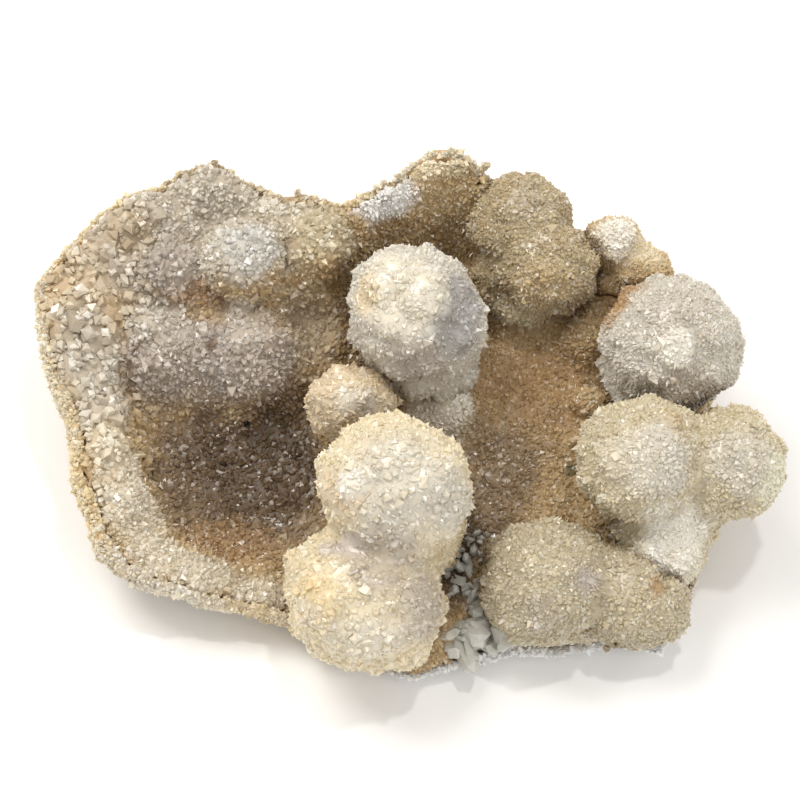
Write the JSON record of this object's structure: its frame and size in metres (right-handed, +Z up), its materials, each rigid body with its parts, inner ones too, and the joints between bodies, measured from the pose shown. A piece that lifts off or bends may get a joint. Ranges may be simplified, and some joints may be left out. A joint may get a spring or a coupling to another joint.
{
  "type": "zeolite crystal specimen",
  "caption": "Druzy mineral specimen: a broken rock plate, hollowed on the left, lined with small pointed crystals, with stubby crystal balls standing on it.",
  "frame": {"origin": "middle of the specimen's box, on the surface it lies on", "axes": "+Z up, +X along the long side towards the crystal balls at the right, -Y towards the low front edge"},
  "size_m": [0.1796, 0.123, 0.0575],
  "materials": {
    "matrix_rock": "rough broken rock with a cream rind",
    "druse_crystal": "small glassy crystals, grey to brown",
    "ball_crystal": "small glassy crystals, white to cream"
  },
  "bodies": {
    "root": {"matrix": "matrix_rock", "druse_crust": "druse_crystal", "ball_center_tall": "ball_crystal", "ball_center_small": "ball_crystal", "balls_front": "ball_crystal", "balls_back": "ball_crystal", "ridge_back_right": "ball_crystal", "ball_right": "ball_crystal", "balls_far_right": "ball_crystal", "mounds_front_right": "ball_crystal"}
  },
  "joints": []
}
